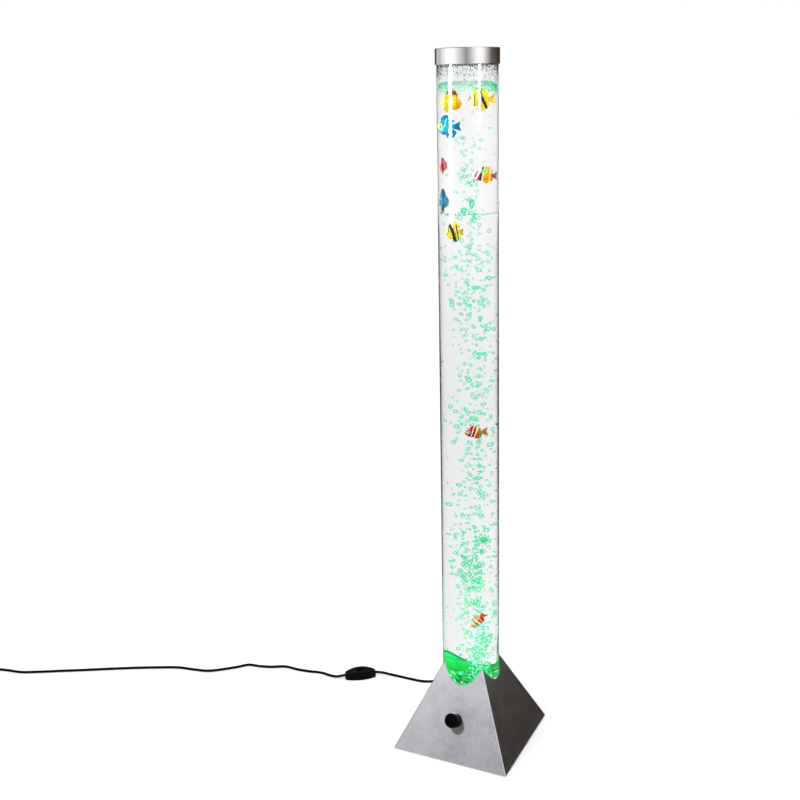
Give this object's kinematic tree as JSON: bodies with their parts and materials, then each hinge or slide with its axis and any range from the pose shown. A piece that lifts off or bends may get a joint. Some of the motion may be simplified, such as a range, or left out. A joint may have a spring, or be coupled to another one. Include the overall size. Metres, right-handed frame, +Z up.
{
  "type": "bubble tube floor lamp",
  "caption": "Floor lamp: a clear water tube on a square pyramid foot, with lift-off cap, loose toy fish, air pump, lit tube floor, front dial, and a mains lead with inline switch and plug.",
  "frame": {"origin": "on the ground under the middle of the square foot", "axes": "+Z up along the tube; -Y is the face with the dial; the lead leaves the +Y face"},
  "size_m": [1.16, 0.4679, 1.2],
  "materials": {
    "silver_housing": "fine-textured silver coat on moulded plastic",
    "clear_tube": "clear polished acrylic",
    "clear_floor": "clear acrylic, bonded",
    "brushed_metal": "brushed around the axis",
    "black_gloss": "polished black plastic",
    "black_plastic": "fine-grained black plastic",
    "black_cable": "soft black cable sheath",
    "black_rubber": "matt rubber",
    "grey_plastic": "moulded grey plastic",
    "white_plastic": "moulded white plastic",
    "ivory_plastic": "moulded ivory plastic",
    "stone": "porous sintered stone",
    "board_green": "green lacquered circuit board",
    "led_lens": "pale green lens",
    "parts_mixed": "moulded electronic parts",
    "screw_steel": "zinc plated",
    "core_steel": "stacked steel sheets",
    "copper_wire": "enamelled copper wire",
    "hose_silicone": "translucent silicone",
    "lead_red": "insulated wire",
    "plated_pin": "nickel plated",
    "check_blue": "translucent blue plastic",
    "fish_yellow": "painted soft plastic",
    "fish_gold_paint": "painted soft plastic, black band",
    "fish_cyan_paint": "painted soft plastic",
    "fish_scarlet_paint": "painted soft plastic, white stripes",
    "fish_orange_paint": "painted soft plastic, white and black bands",
    "fish_blue_paint": "painted soft plastic",
    "fish_banded_paint": "painted soft plastic, black bands",
    "fish_striped_paint": "painted soft plastic, slanted white stripes",
    "fish_low_paint": "painted soft plastic, white stripes"
  },
  "bodies": {
    "lamp": {"pyramid_housing": "silver_housing", "base_plate": "black_plastic", "base_screws": "screw_steel", "rubber_feet": "black_rubber", "tube_socket": "white_plastic", "socket_screws": "screw_steel", "socket_gasket": "black_rubber", "acrylic_tube": "clear_tube", "tube_floor": "clear_floor", "air_nozzle": "white_plastic", "nozzle_seal": "black_rubber", "nozzle_nut": "white_plastic", "air_stone": "stone", "led_board": "board_green", "led_chips": "led_lens", "led_screws": "screw_steel", "pump_case": "black_plastic", "pump_cover": "black_plastic", "pump_pads": "black_rubber", "pump_core": "core_steel", "pump_coil": "copper_wire", "pump_diaphragm": "black_rubber", "pump_valve": "ivory_plastic", "check_valve": "check_blue", "pump_hose": "hose_silicone", "riser_hose": "hose_silicone", "control_board": "board_green", "board_parts": "parts_mixed", "board_screws": "screw_steel", "terminal_block": "white_plastic", "inner_leads": "lead_red", "dial_body": "grey_plastic", "dial_nut": "screw_steel", "cord_gland": "black_rubber", "mains_lead": "black_cable", "cord_clamp": "white_plastic", "cord_to_switch": "black_cable", "switch_base": "black_plastic", "switch_cover": "black_plastic", "switch_screws": "screw_steel", "cord_to_coil": "black_cable", "cord_coil": "black_cable", "plug_body": "black_plastic", "plug_pins": "plated_pin"},
    "dial": {"dial_shaft": "screw_steel", "dial_knob": "black_gloss"},
    "cap": {"top_cap": "brushed_metal", "cap_liner": "white_plastic"},
    "rocker": {"switch_rocker": "black_gloss"},
    "arm": {"pump_arm": "grey_plastic"},
    "lemon_fish": {"fish_lemon": "fish_yellow"},
    "gold_fish": {"fish_gold": "fish_gold_paint"},
    "cyan_fish": {"fish_cyan": "fish_cyan_paint"},
    "scarlet_fish": {"fish_scarlet": "fish_scarlet_paint"},
    "clown_fish": {"fish_clown": "fish_orange_paint"},
    "blue_fish": {"fish_blue": "fish_blue_paint"},
    "banded_fish": {"fish_banded": "fish_banded_paint"},
    "striped_fish": {"fish_striped": "fish_striped_paint"},
    "low_fish": {"fish_low": "fish_low_paint"}
  },
  "joints": [
    {"name": "dial_turn", "type": "hinge", "parent": "lamp", "child": "dial", "pos_m": [0, -0.07539, 0.065], "axis": [0, -0.9063, 0.4226], "range_deg": [-135, 135]},
    {"name": "cap_lift", "type": "slide", "parent": "lamp", "child": "cap", "axis": [0, 0, 1], "range_m": [0, 0.06]},
    {"name": "rocker_press", "type": "hinge", "parent": "lamp", "child": "rocker", "pos_m": [-0.273, 0.088, 0.0125], "axis": [-0.5736, 0.8192, 0], "range_deg": [-16, 0]},
    {"name": "arm_rock", "type": "hinge", "parent": "lamp", "child": "arm", "pos_m": [0.044, 0.019, 0.0245], "axis": [0, 0, 1], "range_deg": [-2, 2], "stiffness_Nm_per_rad": 0.5},
    {"name": "lemon_float", "type": "slide", "parent": "lamp", "child": "lemon_fish", "axis": [0, 0, 1], "range_m": [-0.025, 0.003]},
    {"name": "gold_float", "type": "slide", "parent": "lamp", "child": "gold_fish", "axis": [0, 0, 1], "range_m": [-0.055, 0]},
    {"name": "cyan_float", "type": "slide", "parent": "lamp", "child": "cyan_fish", "axis": [0, 0, 1], "range_m": [-0.01, 0.035]},
    {"name": "scarlet_float", "type": "slide", "parent": "lamp", "child": "scarlet_fish", "axis": [0, 0, 1], "range_m": [-0.012, 0.01]},
    {"name": "clown_float", "type": "slide", "parent": "lamp", "child": "clown_fish", "axis": [0, 0, 1], "range_m": [-0.15, 0.015]},
    {"name": "blue_float", "type": "slide", "parent": "lamp", "child": "blue_fish", "axis": [0, 0, 1], "range_m": [0, 0.004]},
    {"name": "banded_float", "type": "slide", "parent": "lamp", "child": "banded_fish", "axis": [0, 0, 1], "range_m": [-0.08, 0]},
    {"name": "striped_float", "type": "slide", "parent": "lamp", "child": "striped_fish", "axis": [0, 0, 1], "range_m": [-0.2, 0.2]},
    {"name": "low_float", "type": "slide", "parent": "lamp", "child": "low_fish", "axis": [0, 0, 1], "range_m": [-0.07, 0.04]}
  ]
}
